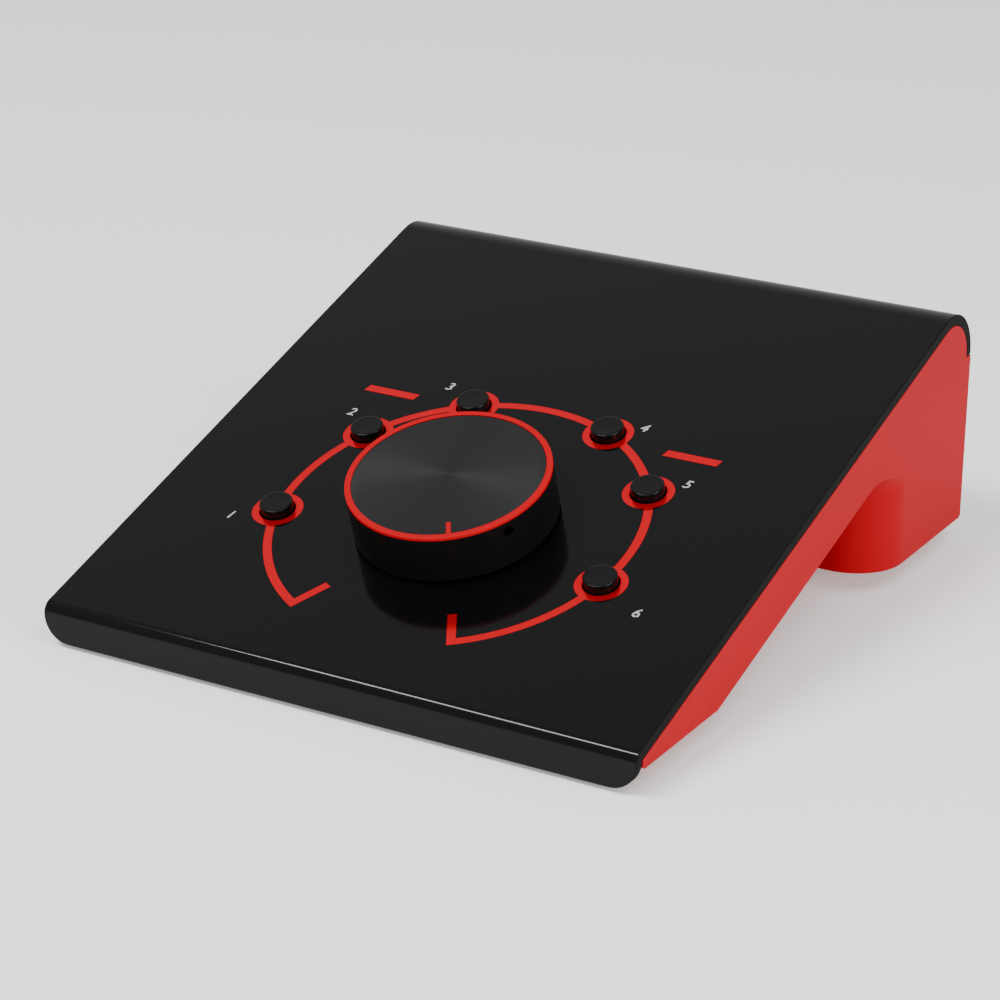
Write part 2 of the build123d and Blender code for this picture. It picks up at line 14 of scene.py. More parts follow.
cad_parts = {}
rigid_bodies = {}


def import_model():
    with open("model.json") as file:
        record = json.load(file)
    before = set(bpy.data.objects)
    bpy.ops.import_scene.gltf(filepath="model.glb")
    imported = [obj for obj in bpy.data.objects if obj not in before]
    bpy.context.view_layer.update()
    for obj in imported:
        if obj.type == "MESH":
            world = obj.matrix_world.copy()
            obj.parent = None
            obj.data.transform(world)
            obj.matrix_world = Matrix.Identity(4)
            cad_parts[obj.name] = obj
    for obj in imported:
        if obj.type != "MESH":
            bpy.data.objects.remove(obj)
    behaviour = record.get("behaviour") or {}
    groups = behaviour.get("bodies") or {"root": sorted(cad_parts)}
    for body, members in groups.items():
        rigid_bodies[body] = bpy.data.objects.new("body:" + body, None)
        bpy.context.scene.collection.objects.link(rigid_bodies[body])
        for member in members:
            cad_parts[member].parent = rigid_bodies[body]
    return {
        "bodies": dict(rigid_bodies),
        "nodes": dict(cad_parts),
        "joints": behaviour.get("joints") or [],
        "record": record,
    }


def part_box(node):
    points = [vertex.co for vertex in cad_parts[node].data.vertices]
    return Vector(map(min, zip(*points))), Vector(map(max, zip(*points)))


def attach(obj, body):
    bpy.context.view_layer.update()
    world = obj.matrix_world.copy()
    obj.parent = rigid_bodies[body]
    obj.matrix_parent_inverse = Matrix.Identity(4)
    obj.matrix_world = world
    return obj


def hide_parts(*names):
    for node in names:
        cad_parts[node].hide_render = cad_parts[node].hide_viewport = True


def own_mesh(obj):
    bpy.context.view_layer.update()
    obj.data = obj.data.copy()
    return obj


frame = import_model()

bl_info = {
    "name": "Monitor Controller Looks",
    "version": (1, 0, 0),
    "blender": (4, 5, 0),
    "location": "View3D > Sidebar > Controller",
    "description": "Finishes and details of a desktop monitor controller",
    "category": "Object",
}

MM = 0.001
WELD = 1e-7                  # points of a new mesh nearer than this are one
NODE_WELD = 2e-6             # the same for a node, whose triangles come loose
SIDE_SHARE = 0.49            # most that a rounded corner takes of the sides next to it
DIGIT_SHARE = 0.7            # height of a numeral, as a share of its font size
DIGIT_WEIGHT = 0.008         # how far its strokes are thickened, as a share of its height
NODES = frame["nodes"]
JOINTS = {joint["name"]: joint for joint in frame["joints"]}
SLOTS = {part["node"]: part["material_slot"] for part in frame["record"]["subparts"]}
BUTTONS = sorted(name for name in frame["bodies"] if name.startswith("button_"))
JACKS = sorted(name for name in NODES if name.startswith("jack_") and name[-1].isdigit())
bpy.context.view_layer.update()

# the dial's own frame: x to the right, y up the slope, z out of the control surface
DIAL_UP = Vector(JOINTS["volume_turn"]["axis"]).normalized()
DIAL_CENTRE = Vector(JOINTS["volume_turn"]["pos_m"])
DIAL = Matrix.Translation(DIAL_CENTRE) @ Matrix(
    (Vector((1, 0, 0)), DIAL_UP.cross(Vector((1, 0, 0))), DIAL_UP)
).transposed().to_4x4()
TO_DIAL = DIAL.inverted()


def on_dial(node):
    """Middle of a node in the dial's frame."""
    low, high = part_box(node)
    return TO_DIAL @ ((low + high) / 2)


def half_width(node):
    """Half of a node's width from left to right."""
    low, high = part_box(node)
    return (high.x - low.x) / 2


def span(points):
    """Lowest and highest z of some points, in the dial's frame."""
    heights = [(TO_DIAL @ point.co).z for point in points]
    return min(heights), max(heights)


FINISHES = {}                # the materials, once they are made
BUTTON_SPOTS = {name: on_dial(name + "_cap") for name in BUTTONS}
DIAL_RADIUS = sum(hypot(p.x, p.y) for p in BUTTON_SPOTS.values()) / len(BUTTON_SPOTS)


# ---------------------------------------------------------------- settings that a user changes
class FinishSettings(bpy.types.PropertyGroup):
    sheet_colour: FloatVectorProperty(
        name="Sheet", description="Lacquer of the bent top sheet", subtype="COLOR",
        size=4, min=0, max=1, default=(0.002, 0.002, 0.0021, 1),
    )
    body_colour: FloatVectorProperty(
        name="Body", description="Moulded body under the sheet", subtype="COLOR",
        size=4, min=0, max=1, default=(0.32, 0.001, 0.006, 1),
    )
    ink_colour: FloatVectorProperty(
        name="Ink", description="Printed scale, knob ring and pointer", subtype="COLOR",
        size=4, min=0, max=1, default=(0.5, 0.001, 0.008, 1),
    )
    sheet_roughness: FloatProperty(
        name="Sheet roughness", description="How dull the lacquer is", subtype="FACTOR",
        min=0, max=1, default=0.09,
    )
    body_roughness: FloatProperty(
        name="Body roughness", description="How dull the moulded body is", subtype="FACTOR",
        min=0, max=1, default=0.42,
    )


class ScaleSettings(bpy.types.PropertyGroup):
    line_width: FloatProperty(
        name="Line", description="Width of the printed arc", subtype="DISTANCE", unit="LENGTH",
        min=0.0001, default=2.3 * MM,
    )
    ring_outer: FloatProperty(
        name="Button ring", description="Outer radius of the ring printed round each button",
        subtype="DISTANCE", unit="LENGTH", min=0.001, default=6.8 * MM,
    )
    ring_inner: FloatProperty(
        name="Ring hole", description="Inner radius of the printed rings",
        subtype="DISTANCE", unit="LENGTH", min=0.001, default=4.85 * MM,
    )
    half_sweep: FloatProperty(
        name="Half sweep", description="Angle from the top of the arc to each of its ends",
        subtype="ANGLE", unit="ROTATION", default=radians(152),
    )
    tick: FloatProperty(
        name="Tick", description="Length of the marks at the ends of the arc",
        subtype="DISTANCE", unit="LENGTH", min=0.0, default=10.5 * MM,
    )
    ink_height: FloatProperty(
        name="Ink height", description="How far the ink stands above the coat",
        subtype="DISTANCE", unit="LENGTH", min=0.0, default=0.05 * MM,
    )
    digit_height: FloatProperty(
        name="Digits", description="Height of the numerals beside the buttons",
        subtype="DISTANCE", unit="LENGTH", min=0.001, default=3.1 * MM,
    )


class StageSettings(bpy.types.PropertyGroup):
    azimuth: FloatProperty(
        name="Azimuth", description="View, from the front towards the right",
        subtype="ANGLE", unit="ROTATION", default=radians(30.02),
    )
    elevation: FloatProperty(
        name="Elevation", description="View, above level", subtype="ANGLE", unit="ROTATION",
        default=radians(21.05),
    )
    roll: FloatProperty(
        name="Roll", description="Tilt of the camera about its own axis", subtype="ANGLE",
        unit="ROTATION", default=radians(0.64),
    )
    distance: FloatProperty(
        name="Distance", description="Camera to the point it looks at", subtype="DISTANCE",
        unit="LENGTH", default=0.8192,
    )
    target: FloatVectorProperty(
        name="Target", description="Point that the camera looks at", subtype="TRANSLATION",
        unit="LENGTH", size=3, default=(0.0024, -0.0182, 0.0309),
    )
    lens: FloatProperty(
        name="Lens", description="Focal length on a 36 mm sensor", subtype="DISTANCE_CAMERA",
        default=114.2,
    )
    sky: FloatProperty(
        name="Sky", description="Brightness of the surroundings", min=0, default=0.7,
    )


# ---------------------------------------------------------------- small tools
def put(tree, kind, inputs=(), **settings):
    """Adds a node, sets its properties, and fills or links its inputs."""
    node = tree.nodes.new(kind)
    for key, value in settings.items():
        setattr(node, key, value)
    for key, value in dict(inputs).items():
        socket = node.inputs[key]
        if isinstance(value, bpy.types.NodeSocket):
            tree.links.new(value, socket)
        else:
            socket.default_value = value
    return node


def new_surface(name, **values):
    """A material with one Principled surface; returns the material, its tree and the surface."""
    material = bpy.data.materials.new(name)
    material.use_nodes = True
    tree = material.node_tree
    surface = tree.nodes["Principled BSDF"]
    for key, value in values.items():
        surface.inputs[key.replace("_", " ")].default_value = value
    return material, tree, surface


def grain(tree, scale, detail=2.0, stretch=(1, 1, 1)):
    """Noise on Object coordinates; `scale` is in waves per metre."""
    place = put(tree, "ShaderNodeTexCoord")
    mapping = put(tree, "ShaderNodeMapping", {"Vector": place.outputs["Object"], "Scale": stretch})
    return put(
        tree, "ShaderNodeTexNoise",
        {"Vector": mapping.outputs["Vector"], "Scale": scale, "Detail": detail},
    )


def bump(tree, surface, height, strength, distance):
    """Drives the surface's normal from a height."""
    node = put(
        tree, "ShaderNodeBump", {"Height": height, "Strength": strength, "Distance": distance}
    )
    tree.links.new(node.outputs["Normal"], surface.inputs["Normal"])


def vary(tree, source, low, high, socket, start=0.3, end=0.7):
    """Spreads a 0 to 1 value over low to high and links it to a socket."""
    node = put(
        tree, "ShaderNodeMapRange",
        {"Value": source, "From Min": start, "From Max": end, "To Min": low, "To Max": high},
    )
    tree.links.new(node.outputs["Result"], socket)


def tint(tree, factor, dark, light, socket):
    """Mixes two colours by a factor and links the result to a socket."""
    node = put(tree, "ShaderNodeMix", {"Factor": factor}, data_type="RGBA")
    node.inputs["A"].default_value = dark
    node.inputs["B"].default_value = light
    tree.links.new(node.outputs["Result"], socket)


def shade(colour, amount):
    """A colour made lighter or darker."""
    return tuple(min(1.0, c * amount) for c in colour[:3]) + (1.0,)


def placed(name, data):
    """A new object of the scene that shows some data."""
    thing = bpy.data.objects.new(name, data)
    bpy.context.scene.collection.objects.link(thing)
    return thing


def piece(name, mesh, body, slot, *replaced, finish=None):
    """Makes a mesh a piece on its CAD body; a mesh without a material gets the slot's finish."""
    done = placed(name, mesh)
    if not mesh.materials:
        mesh.materials.append(finish_of(finish or slot))
    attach(done, body)
    if replaced:
        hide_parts(*replaced)
    return done


def smooth(mesh, angle=35.0):
    """Smooth shading with edges sharper than the angle kept crisp."""
    mesh.shade_smooth()
    mesh.set_sharp_from_angle(angle=radians(angle))


def mesh_of(form, name):
    """The mesh of a bmesh form, which is then freed."""
    mesh = bpy.data.meshes.new(name)
    form.to_mesh(mesh)
    form.free()
    return mesh


def joined_up(node):
    """A copy of a node's mesh with its loose triangles joined up, as a bmesh form."""
    form = bmesh.new()
    form.from_mesh(NODES[node].data)
    bmesh.ops.remove_doubles(form, verts=form.verts, dist=NODE_WELD)
    return form


def corner_arc(before, corner, after, radius, steps):
    """Points of the arc that rounds one corner of a profile."""
    back = (before - corner).normalized()
    on = (after - corner).normalized()
    half = back.angle(on) / 2
    sides = (before - corner).length, (after - corner).length
    reach = min(radius / tan(half), SIDE_SHARE * min(sides))
    true_radius = reach * tan(half)
    centre = corner + (back + on).normalized() * (true_radius / sin(half))
    first = corner + back * reach - centre
    last = corner + on * reach - centre
    turn = first.angle_signed(last)
    return [centre + Matrix.Rotation(-turn * i / steps, 2) @ first for i in range(steps + 1)]


def rounded(profile, steps=5):
    """A profile of (r, z, radius) corners with those corners rounded, as 2-D vectors."""
    places = [Vector(p[:2]) for p in profile]
    line = [places[0]]
    for i in range(1, len(profile) - 1):
        if profile[i][2] > 0:
            line += corner_arc(places[i - 1], places[i], places[i + 1], profile[i][2], steps)
        else:
            line.append(places[i])
    return line + [places[-1]]


def lathe(name, profile, segments, matrix, spin_map=False):
    """Turns a profile of (r, z) points about z, with one point for a row on the axis."""
    form = bmesh.new()
    turns = [tau * k / segments for k in range(segments)]
    rows = [
        [form.verts.new((0, 0, z))] if r < WELD
        else [form.verts.new((r * cos(turn), r * sin(turn), z)) for turn in turns]
        for r, z in profile
    ]
    map_layer = form.loops.layers.uv.new("spin") if spin_map else None
    for lower, upper in zip(rows, rows[1:]):
        for k in range(segments):
            after = (k + 1) % segments
            if len(lower) == 1 and len(upper) == 1:
                continue
            if len(lower) == 1:
                corners = (lower[0], upper[after], upper[k])
            elif len(upper) == 1:
                corners = (lower[k], lower[after], upper[0])
            else:
                corners = (lower[k], lower[after], upper[after], upper[k])
            face = form.faces.new(corners)
            if spin_map:
                for loop in face.loops:
                    x, y = loop.vert.co.x, loop.vert.co.y
                    share = (atan2(y, x) / tau) % 1.0
                    if k == segments - 1 and share < 0.5:
                        share += 1.0
                    if hypot(x, y) < WELD:
                        share = (k + 0.5) / segments
                    loop[map_layer].uv = (share, hypot(x, y) / MM)
    bmesh.ops.remove_doubles(form, verts=form.verts, dist=WELD)
    bmesh.ops.recalc_face_normals(form, faces=form.faces)
    form.transform(matrix)
    mesh = mesh_of(form, name)
    smooth(mesh)
    return mesh


def eased_copy(node, width, segments=3, angle=30.0):
    """A clean copy of a node's mesh with its sharp edges eased, as a plain mesh."""
    form = joined_up(node)
    bmesh.ops.dissolve_limit(form, angle_limit=radians(0.6), verts=form.verts, edges=form.edges)
    mesh = mesh_of(form, node + "_clean")
    holder = placed(node + "_clean", mesh)
    ease = holder.modifiers.new("ease", "BEVEL")
    ease.width = width
    ease.segments = segments
    ease.limit_method = "ANGLE"
    ease.angle_limit = radians(angle)
    mesh.shade_smooth()
    flat = holder.modifiers.new("flat", "WEIGHTED_NORMAL")
    flat.mode = "FACE_AREA_WITH_ANGLE"
    flat.weight = 100
    return finished(holder, node + "_eased")


def finished(holder, name):
    """The evaluated mesh of a holder object, which is then removed."""
    bpy.context.view_layer.update()
    graph = bpy.context.evaluated_depsgraph_get()
    mesh = bpy.data.meshes.new_from_object(holder.evaluated_get(graph), depsgraph=graph)
    mesh.name = name
    bpy.data.objects.remove(holder)
    return mesh


def grown(name, tree, points, inputs, matrix=None):
    """Runs a Geometry Nodes tree on a few points and returns its result as a plain mesh."""
    seed = bpy.data.meshes.new(name + "_points")
    seed.from_pydata([tuple(p) for p in points], [], [])
    holder = placed(name + "_points", seed)
    step = holder.modifiers.new("grow", "NODES")
    step.node_group = tree
    sockets = {
        item.name: item.identifier for item in tree.interface.items_tree
        if item.item_type == "SOCKET" and item.in_out == "INPUT"
    }
    for key, value in inputs.items():
        step[sockets[key]] = value
    mesh = finished(holder, name)
    if matrix is not None:
        mesh.transform(matrix)
    return mesh


def new_tree(name, **inputs):
    """A Geometry Nodes tree with a geometry input and output and named inputs."""
    tree = bpy.data.node_groups.new(name, "GeometryNodeTree")
    tree.interface.new_socket("Geometry", in_out="INPUT", socket_type="NodeSocketGeometry")
    for label, (kind, value) in inputs.items():
        socket = tree.interface.new_socket(
            label.replace("_", " "), in_out="INPUT", socket_type="NodeSocket" + kind
        )
        if value is not None:
            socket.default_value = value
    tree.interface.new_socket("Geometry", in_out="OUTPUT", socket_type="NodeSocketGeometry")
    return tree, put(tree, "NodeGroupInput").outputs


def close_tree(tree, geometry, material):
    """Ends a tree in Realize Instances and Set Material."""
    real = put(tree, "GeometryNodeRealizeInstances", {"Geometry": geometry})
    painted = put(
        tree, "GeometryNodeSetMaterial", {"Geometry": real.outputs[0], "Material": material}
    )
    put(tree, "NodeGroupOutput", {"Geometry": painted.outputs[0]})


def numeral(number, height, film, matrix, lean=0.0):
    """A printed numeral of a given height, centred on the matrix's plane."""
    words = bpy.data.curves.new(f"digit_{number}", "FONT")
    words.body = str(number)
    words.align_x = "CENTER"
    words.align_y = "CENTER"
    words.size = height / DIGIT_SHARE
    words.shear = lean
    words.offset = height * DIGIT_WEIGHT
    words.extrude = film
    mesh = finished(placed(f"digit_{number}", words), f"numeral_{number}")
    form = bmesh.new()
    form.from_mesh(mesh)
    bmesh.ops.remove_doubles(form, verts=form.verts, dist=WELD)
    form.transform(matrix)
    form.to_mesh(mesh)
    form.free()
    return mesh


# ---------------------------------------------------------------- finishes
def gloss_black(name, colour, roughness, gloss=0.155):
    """Smooth black lacquer that mirrors what stands on it, with a faint orange peel."""
    material, tree, surface = new_surface(
        name, Base_Color=colour, Roughness=roughness, Specular_IOR_Level=gloss
    )
    peel = grain(tree, 420, 2.0)
    cloud = grain(tree, 22, 2.0)
    vary(
        tree, cloud.outputs["Fac"], roughness - 0.02, roughness + 0.03, surface.inputs["Roughness"]
    )
    bump(tree, surface, peel.outputs["Fac"], 0.04, 0.03 * MM)
    return material


def moulded_red(colour, roughness):
    """Red moulded body: fine spark texture, slow changes of colour."""
    material, tree, surface = new_surface(
        "moulded_red", Base_Color=colour, Roughness=roughness, Specular_IOR_Level=0.025
    )
    spark = grain(tree, 2600, 4.0)
    cloud = grain(tree, 16, 2.0)
    tint(
        tree, cloud.outputs["Fac"], shade(colour, 0.94), shade(colour, 1.05),
        surface.inputs["Base Color"],
    )
    vary(
        tree, spark.outputs["Fac"], roughness - 0.05, roughness + 0.06, surface.inputs["Roughness"]
    )
    bump(tree, surface, spark.outputs["Fac"], 0.12, 0.05 * MM)
    return material


def ink(name, colour):
    """Glossy screen ink, uneven by a hair, which mirrors its surroundings in its own colour."""
    material, tree, surface = new_surface(
        name, Base_Color=colour, Roughness=0.14, Metallic=0.8, Specular_IOR_Level=0.06
    )
    film = grain(tree, 900, 3.0)
    vary(tree, film.outputs["Fac"], 0.1, 0.18, surface.inputs["Roughness"])
    bump(tree, surface, film.outputs["Fac"], 0.04, 0.02 * MM)
    return material


def inlay(colour):
    """Red acrylic of the knob's ring and pointer."""
    material, tree, surface = new_surface(
        "red_inlay", Base_Color=colour, Roughness=0.3, Specular_IOR_Level=0.03
    )
    film = grain(tree, 500, 2.0)
    vary(tree, film.outputs["Fac"], 0.26, 0.36, surface.inputs["Roughness"])
    return material


def spun_black():
    """Black anodised disc turned on a lathe: fine circular grooves and a streaked shine."""
    material, tree, surface = new_surface(
        "spun_black", Base_Color=(0.03, 0.03, 0.031, 1), Metallic=0.85, Roughness=0.42,
        Anisotropic=0.65, Specular_IOR_Level=0.5,
    )
    place = put(tree, "ShaderNodeUVMap", uv_map="spin")
    parts = put(tree, "ShaderNodeSeparateXYZ", {"Vector": place.outputs["UV"]})
    radial = put(tree, "ShaderNodeCombineXYZ", {"X": parts.outputs["Y"]})
    grooves = put(
        tree, "ShaderNodeTexNoise",
        {"Vector": radial.outputs["Vector"], "Scale": 5.0, "Detail": 6.0, "Roughness": 0.7},
    )
    tint(
        tree, grooves.outputs["Fac"], (0.02, 0.02, 0.0205, 1), (0.034, 0.034, 0.0345, 1),
        surface.inputs["Base Color"],
    )
    vary(tree, grooves.outputs["Fac"], 0.36, 0.48, surface.inputs["Roughness"])
    bump(tree, surface, grooves.outputs["Fac"], 0.15, 0.02 * MM)
    along = put(tree, "ShaderNodeTangent", direction_type="UV_MAP", uv_map="spin")
    tree.links.new(along.outputs["Tangent"], surface.inputs["Tangent"])
    return material


def black_plastic(name, colour, roughness, texture=0.05, gloss=0.4):
    """Moulded black plastic; `texture` is how strongly the mould's grain shows."""
    material, tree, surface = new_surface(
        name, Base_Color=colour, Roughness=roughness, Specular_IOR_Level=gloss
    )
    skin = grain(tree, 2200, 3.0)
    vary(
        tree, skin.outputs["Fac"], roughness - 0.04, roughness + 0.05, surface.inputs["Roughness"]
    )
    bump(tree, surface, skin.outputs["Fac"], texture, 0.04 * MM)
    return material


def rubber():
    """Matte rubber with dust in its pores."""
    material, tree, surface = new_surface(
        "foot_rubber", Base_Color=(0.018, 0.018, 0.018, 1), Roughness=0.85
    )
    pores = grain(tree, 1500, 5.0)
    tint(
        tree, pores.outputs["Fac"], (0.012, 0.012, 0.012, 1), (0.034, 0.033, 0.032, 1),
        surface.inputs["Base Color"],
    )
    bump(tree, surface, pores.outputs["Fac"], 0.3, 0.08 * MM)
    return material


def plated(name, colour, roughness):
    """Plated or turned metal with fine scratches."""
    material, tree, surface = new_surface(
        name, Base_Color=colour, Metallic=1.0, Roughness=roughness
    )
    lines = grain(tree, 700, 4.0, (1, 14, 1))
    vary(
        tree, lines.outputs["Fac"], roughness * 0.8, roughness * 1.35, surface.inputs["Roughness"]
    )
    bump(tree, surface, lines.outputs["Fac"], 0.06, 0.02 * MM)
    return material


def solder_resist():
    """Green circuit board with copper tracks faintly showing through."""
    material, tree, surface = new_surface(
        "solder_resist", Base_Color=(0.015, 0.13, 0.05, 1), Roughness=0.35
    )
    place = put(tree, "ShaderNodeTexCoord")
    tracks = put(tree, "ShaderNodeTexBrick", {"Vector": place.outputs["Object"], "Scale": 160.0})
    tint(
        tree, tracks.outputs["Fac"], (0.012, 0.11, 0.045, 1), (0.03, 0.2, 0.08, 1),
        surface.inputs["Base Color"],
    )
    return material


def lacquer(name, colour):
    """Lacquered resistor bodies."""
    material, tree, surface = new_surface(name, Base_Color=colour, Roughness=0.3)
    film = grain(tree, 800, 2.0)
    vary(tree, film.outputs["Fac"], 0.25, 0.38, surface.inputs["Roughness"])
    return material


def ribbed_cable():
    """Grey ribbon cable: one rib for each of its wires, side by side along X."""
    material, tree, surface = new_surface(
        "ribbon_grey", Base_Color=(0.4, 0.4, 0.41, 1), Roughness=0.5
    )
    place = put(tree, "ShaderNodeTexCoord")
    ribs = put(
        tree, "ShaderNodeTexWave", {"Vector": place.outputs["Object"], "Scale": 125.0},
        bands_direction="X",
    )
    bump(tree, surface, ribs.outputs["Fac"], 0.8, 0.3 * MM)
    return material


def make_finishes(settings):
    """All the materials, by the record's slot or by the name of the finish."""
    sheet = tuple(settings.sheet_colour)
    body = tuple(settings.body_colour)
    red = tuple(settings.ink_colour)
    return {
        "black_sheet": gloss_black("sheet_lacquer", sheet, settings.sheet_roughness),
        "sheet_edge": black_plastic("sheet_edge", (0.005, 0.005, 0.005, 1), 0.6, 0.2, 0.03),
        "black_plate": gloss_black("plate_coat", (0.009, 0.009, 0.0095, 1), 0.4, 0.35),
        "black_screw": gloss_black("screw_black", (0.012, 0.012, 0.012, 1), 0.35, 0.45),
        "red_body": moulded_red(body, settings.body_roughness),
        "red_ink": ink("red_ink", shade(red, 1.75)),
        "white_ink": ink("white_ink", (0.78, 0.78, 0.78, 1)),
        "red_inlay": inlay(shade(red, 0.8)),
        "spun_disc": spun_black(),
        "knob_black": black_plastic("knob_black", (0.0036, 0.0036, 0.0037, 1), 0.26, 0.012, 0.14),
        "button_black": black_plastic(
            "button_black", (0.0028, 0.0028, 0.003, 1), 0.2, 0.015, 0.16
        ),
        "black_nylon": black_plastic("black_nylon", (0.012, 0.012, 0.012, 1), 0.55, 0.15),
        "switch_body": black_plastic("switch_body", (0.02, 0.02, 0.022, 1), 0.5, 0.1),
        "jack_nylon": black_plastic("jack_nylon", (0.01, 0.01, 0.01, 1), 0.45, 0.1),
        "foot_rubber": rubber(),
        "nickel": plated("nickel_plate", (0.62, 0.6, 0.56, 1), 0.22),
        "steel": plated("zinc_steel", (0.55, 0.55, 0.56, 1), 0.32),
        "brass": plated("turned_brass", (0.72, 0.5, 0.22, 1), 0.28),
        "circuit_board": solder_resist(),
        "resistor": lacquer("resistor_lacquer", (0.1, 0.28, 0.42, 1)),
        "ribbon_grey": ribbed_cable(),
    }


def finish_of(name):
    """A finish by name; the first call makes them all."""
    if not FINISHES:
        FINISHES.update(make_finishes(bpy.context.scene.controller_finish))
    return FINISHES[name]


# ---------------------------------------------------------------- trees
def rings_tree():
    """A ring of round wire on each point, tilted about X."""
    tree, given = new_tree(
        "wire_rings", Radius=("Float", 4 * MM), Wire=("Float", 0.1 * MM), Tilt=("Float", 0.0),
        Material=("Material", None),
    )
    loop, wire = (
        put(
            tree, "GeometryNodeCurvePrimitiveCircle",
            {"Resolution": points, "Radius": given[radius]},
        ) for radius, points in (("Radius", 48), ("Wire", 8))
    )
    ring = put(
        tree, "GeometryNodeCurveToMesh",
        {"Curve": loop.outputs["Curve"], "Profile Curve": wire.outputs["Curve"]},
    )
    turn = put(tree, "ShaderNodeCombineXYZ", {"X": given["Tilt"]})
    rings = put(
        tree, "GeometryNodeInstanceOnPoints",
        {
            "Points": given["Geometry"], "Instance": ring.outputs["Mesh"],
            "Rotation": turn.outputs[0],
        },
    )
    close_tree(tree, rings.outputs["Instances"], given["Material"])
    return tree


def marks_tree():
    """Printed arc, its end ticks, and a ring round each button, on the plane z = 0."""
    arc_points, ring_points = 900, 96
    overprint = 1.25             # the rings and ticks are printed over the arc, so they are higher
    tree, given = new_tree(
        "printed_marks",
        Arc_Radius=("Float", 49 * MM), Line_Width=("Float", 2.3 * MM),
        Ring_Outer=("Float", 6.8 * MM), Ring_Inner=("Float", 4.85 * MM),
        Half_Sweep=("Float", radians(152)), Tick=("Float", 10.5 * MM),
        Ink_Height=("Float", 0.05 * MM), Material=("Material", None),
    )

    def work(operation, first, second=0.5):
        """One step of arithmetic; the functions of an angle ignore the second number."""
        node = put(tree, "ShaderNodeMath", operation=operation)
        for socket, value in zip(node.inputs, (first, second)):
            if isinstance(value, bpy.types.NodeSocket):
                tree.links.new(value, socket)
            else:
                socket.default_value = value
        return node.outputs[0]

    def section(width, height):
        """The cross-section of a printed line."""
        return put(
            tree, "GeometryNodeCurvePrimitiveQuadrilateral", {"Width": width, "Height": height}
        ).outputs["Curve"]

    def printed(curve, profile, capped):
        """A line of ink along a curve."""
        return put(
            tree, "GeometryNodeCurveToMesh",
            {"Curve": curve, "Profile Curve": profile, "Fill Caps": capped},
        ).outputs["Mesh"]

    over = work("MULTIPLY", given["Ink Height"], overprint)
    arc = put(
        tree, "GeometryNodeCurveArc",
        {
            "Resolution": arc_points, "Radius": given["Arc Radius"],
            "Start Angle": work("SUBTRACT", pi / 2, given["Half Sweep"]),
            "Sweep Angle": work("MULTIPLY", given["Half Sweep"], 2.0),
        },
        mode="RADIUS",
    )
    near = put(
        tree, "GeometryNodeProximity", {"Geometry": given["Geometry"]}, target_element="POINTS"
    )
    middle = work("MULTIPLY", work("ADD", given["Ring Outer"], given["Ring Inner"]), 0.5)
    inside = put(
        tree, "FunctionNodeCompare", {"A": near.outputs["Distance"], "B": middle},
        data_type="FLOAT", operation="LESS_THAN",
    )
    # only a mesh comes apart where its points are deleted, so the arc is one for a moment
    edges = put(tree, "GeometryNodeCurveToMesh", {"Curve": arc.outputs["Curve"]})
    gaps = put(
        tree, "GeometryNodeDeleteGeometry",
        {"Geometry": edges.outputs["Mesh"], "Selection": inside.outputs["Result"]}, domain="POINT",
    )
    runs = put(tree, "GeometryNodeMeshToCurve", {"Mesh": gaps.outputs["Geometry"]})
    line = printed(
        runs.outputs["Curve"], section(given["Line Width"], given["Ink Height"]), True
    )
    loop = put(
        tree, "GeometryNodeCurvePrimitiveCircle", {"Resolution": ring_points, "Radius": middle}
    )
    band = section(work("SUBTRACT", given["Ring Outer"], given["Ring Inner"]), over)
    rings = put(
        tree, "GeometryNodeInstanceOnPoints",
        {"Points": given["Geometry"], "Instance": printed(loop.outputs["Curve"], band, False)},
    )
    joined = put(tree, "GeometryNodeJoinGeometry")
    tree.links.new(line, joined.inputs[0])
    tree.links.new(rings.outputs["Instances"], joined.inputs[0])
    inner = work("SUBTRACT", given["Arc Radius"], given["Tick"])
    outer = work("ADD", given["Arc Radius"], work("MULTIPLY", given["Line Width"], 0.5))
    for side in (-1.0, 1.0):
        turn = work("ADD", work("MULTIPLY", given["Half Sweep"], side), pi / 2)
        across, up = work("COSINE", turn), work("SINE", turn)
        ends = [
            put(tree, "ShaderNodeCombineXYZ", {
                "X": work("MULTIPLY", across, reach), "Y": work("MULTIPLY", up, reach),
            }) for reach in (inner, outer)
        ]
        stroke = put(
            tree, "GeometryNodeCurvePrimitiveLine",
            {"Start": ends[0].outputs[0], "End": ends[1].outputs[0]},
        )
        tick = printed(stroke.outputs["Curve"], section(given["Line Width"], over), True)
        tree.links.new(tick, joined.inputs[0])
    close_tree(tree, joined.outputs[0], given["Material"])
    return tree


# ---------------------------------------------------------------- operators
class CONTROLLER_OT_hardware(bpy.types.Operator):
    """Finishes of the nodes that keep their own shape"""
    bl_idname = "controller.hardware"
    bl_label = "Hardware"

    def execute(self, context):
        for name, thing in NODES.items():
            finish = finish_of(SLOTS[name])
            if not thing.material_slots:
                thing.data.materials.append(finish)
            for place in thing.material_slots:
                place.material = finish
        return {"FINISHED"}


class CONTROLLER_OT_case(bpy.types.Operator):
    """Top sheet and body, with eased edges"""
    bl_idname = "controller.case"
    bl_label = "Case"

    sheet_ease = 0.35 * MM       # how far the edges are eased
    body_ease = 0.3 * MM
    sideways = 0.6               # a face whose normal has more X than this is a cut edge

    def execute(self, context):
        sheet = piece(
            "sheet", eased_copy("top_sheet", self.sheet_ease), "case", "black_sheet", "top_sheet"
        )
        # the cut edges at the sides are duller than the faces
        sheet.data.materials.append(finish_of("sheet_edge"))
        for face in sheet.data.polygons:
            if abs(face.normal.x) > self.sideways:
                face.material_index = 1
        piece("body", eased_copy("body_shell", self.body_ease), "case", "red_body", "body_shell")
        return {"FINISHED"}


